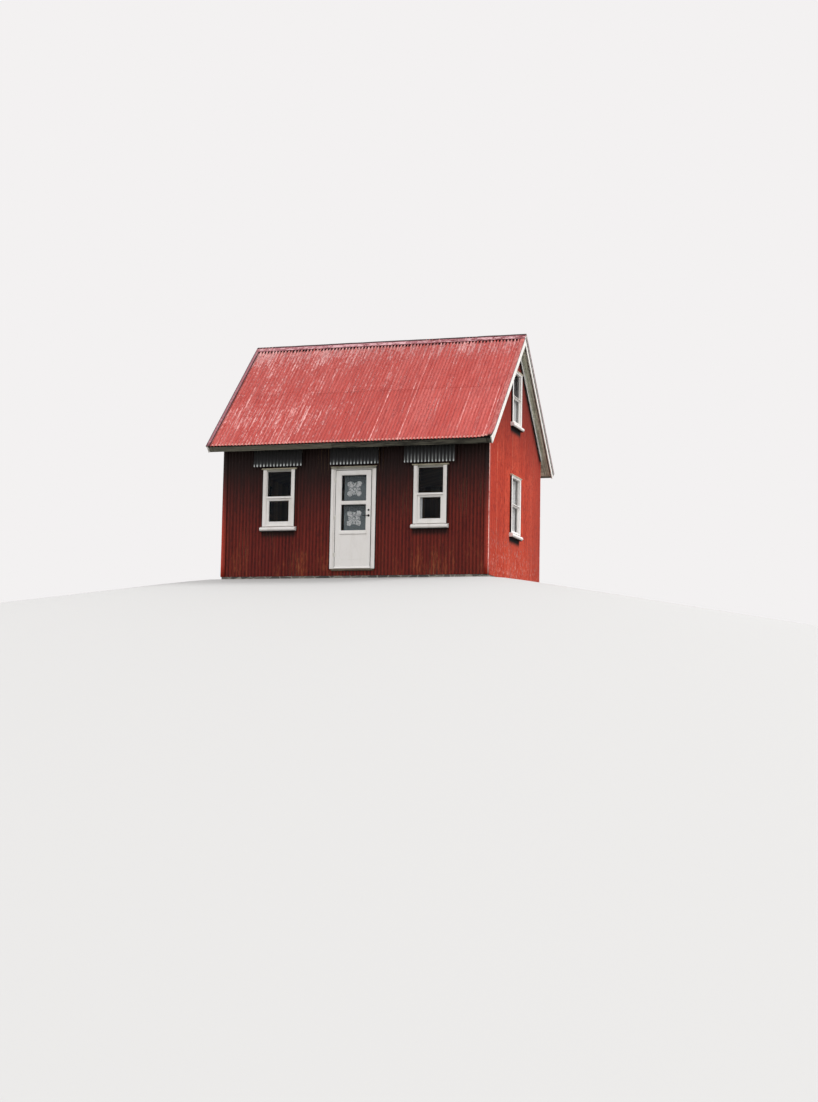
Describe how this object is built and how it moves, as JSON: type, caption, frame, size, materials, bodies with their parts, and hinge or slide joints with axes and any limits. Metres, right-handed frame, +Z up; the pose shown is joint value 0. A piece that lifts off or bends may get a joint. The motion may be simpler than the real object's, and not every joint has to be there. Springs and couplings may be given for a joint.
{
  "type": "corrugated iron clad cabin",
  "caption": "Small gabled cabin clad in red corrugated iron, with white windows, hoods over its openings and a glazed door that opens outward.",
  "frame": {"origin": "on the ground under the middle of the cabin", "axes": "+X along the front, to the right as seen from outside the door; +Y from the door towards the back wall; +Z up"},
  "size_m": [6.286, 5.3642, 5.4842],
  "materials": {
    "foundation_stone": "rough grey rubble set in mortar",
    "bare_boards": "plain sawn boards, bare",
    "red_wall_iron": "dark red oil paint on corrugated iron, dull, chalked and rust spotted low down",
    "red_roof_iron": "weathered red roof paint, chalked pale down the slope",
    "weathered_boards": "grey green weathered paint on boards",
    "white_joinery": "white gloss paint on planed softwood, a little dirty",
    "window_glass": "clear float glass",
    "galvanised_iron": "dull galvanised corrugated iron",
    "curtain_cloth": "thin pale woven curtain",
    "white_lace": "white crocheted lace on a fine net",
    "black_iron": "black painted metal",
    "hinge_steel": "dull zinc plated steel"
  },
  "bodies": {
    "cabin": {"attic_floor": "bare_boards", "back_cladding": "red_wall_iron", "back_fascia": "weathered_boards", "back_hoods": "galvanised_iron", "back_roof_deck": "bare_boards", "back_roof_sheet": "red_roof_iron", "back_wall": "bare_boards", "back_window_frame": "white_joinery", "back_window_glass": "window_glass", "back_window_sash": "white_joinery", "corner_trims": "red_wall_iron", "door_frame": "white_joinery", "door_threshold": "white_joinery", "floor": "bare_boards", "foundation": "foundation_stone", "frame_hinges": "hinge_steel", "front_cladding": "red_wall_iron", "front_fascia": "weathered_boards", "front_hoods": "galvanised_iron", "front_left_window_frame": "white_joinery", "front_left_window_glass": "window_glass", "front_left_window_sash": "white_joinery", "front_right_window_frame": "white_joinery", "front_right_window_glass": "window_glass", "front_right_window_sash": "white_joinery", "front_roof_deck": "bare_boards", "front_roof_sheet": "red_roof_iron", "front_wall_left": "bare_boards", "front_wall_over_door": "bare_boards", "front_wall_right": "bare_boards", "left_bargeboards": "white_joinery", "left_gable_cladding": "red_wall_iron", "left_gable_wall": "bare_boards", "left_gable_window_frame": "white_joinery", "left_gable_window_glass": "window_glass", "left_gable_window_sash": "white_joinery", "rake_trims": "white_joinery", "ridge_cap": "red_roof_iron", "right_bargeboards": "white_joinery", "right_gable_cladding": "red_wall_iron", "right_gable_wall": "bare_boards", "right_gable_window_frame": "white_joinery", "right_gable_window_glass": "window_glass", "right_gable_window_sash": "white_joinery", "roof_soffits": "weathered_boards", "verge_caps": "red_roof_iron", "window_curtains": "curtain_cloth"},
    "door": {"door_leaf": "white_joinery", "door_glass": "window_glass", "door_lace": "white_lace", "door_lock": "black_iron", "leaf_hinges": "hinge_steel"},
    "lever": {"door_lever": "black_iron"}
  },
  "joints": [
    {"name": "door_swing", "type": "hinge", "parent": "cabin", "child": "door", "pos_m": [-0.3865, -2.154, 1.24], "axis": [0, 0, -1], "range_deg": [0, 110]},
    {"name": "lever_press", "type": "hinge", "parent": "door", "child": "lever", "pos_m": [0.358, -2.15, 1.31], "axis": [0, -1, 0], "range_deg": [0, 45], "stiffness_Nm_per_rad": 1.5, "springref_deg": -20.05}
  ]
}
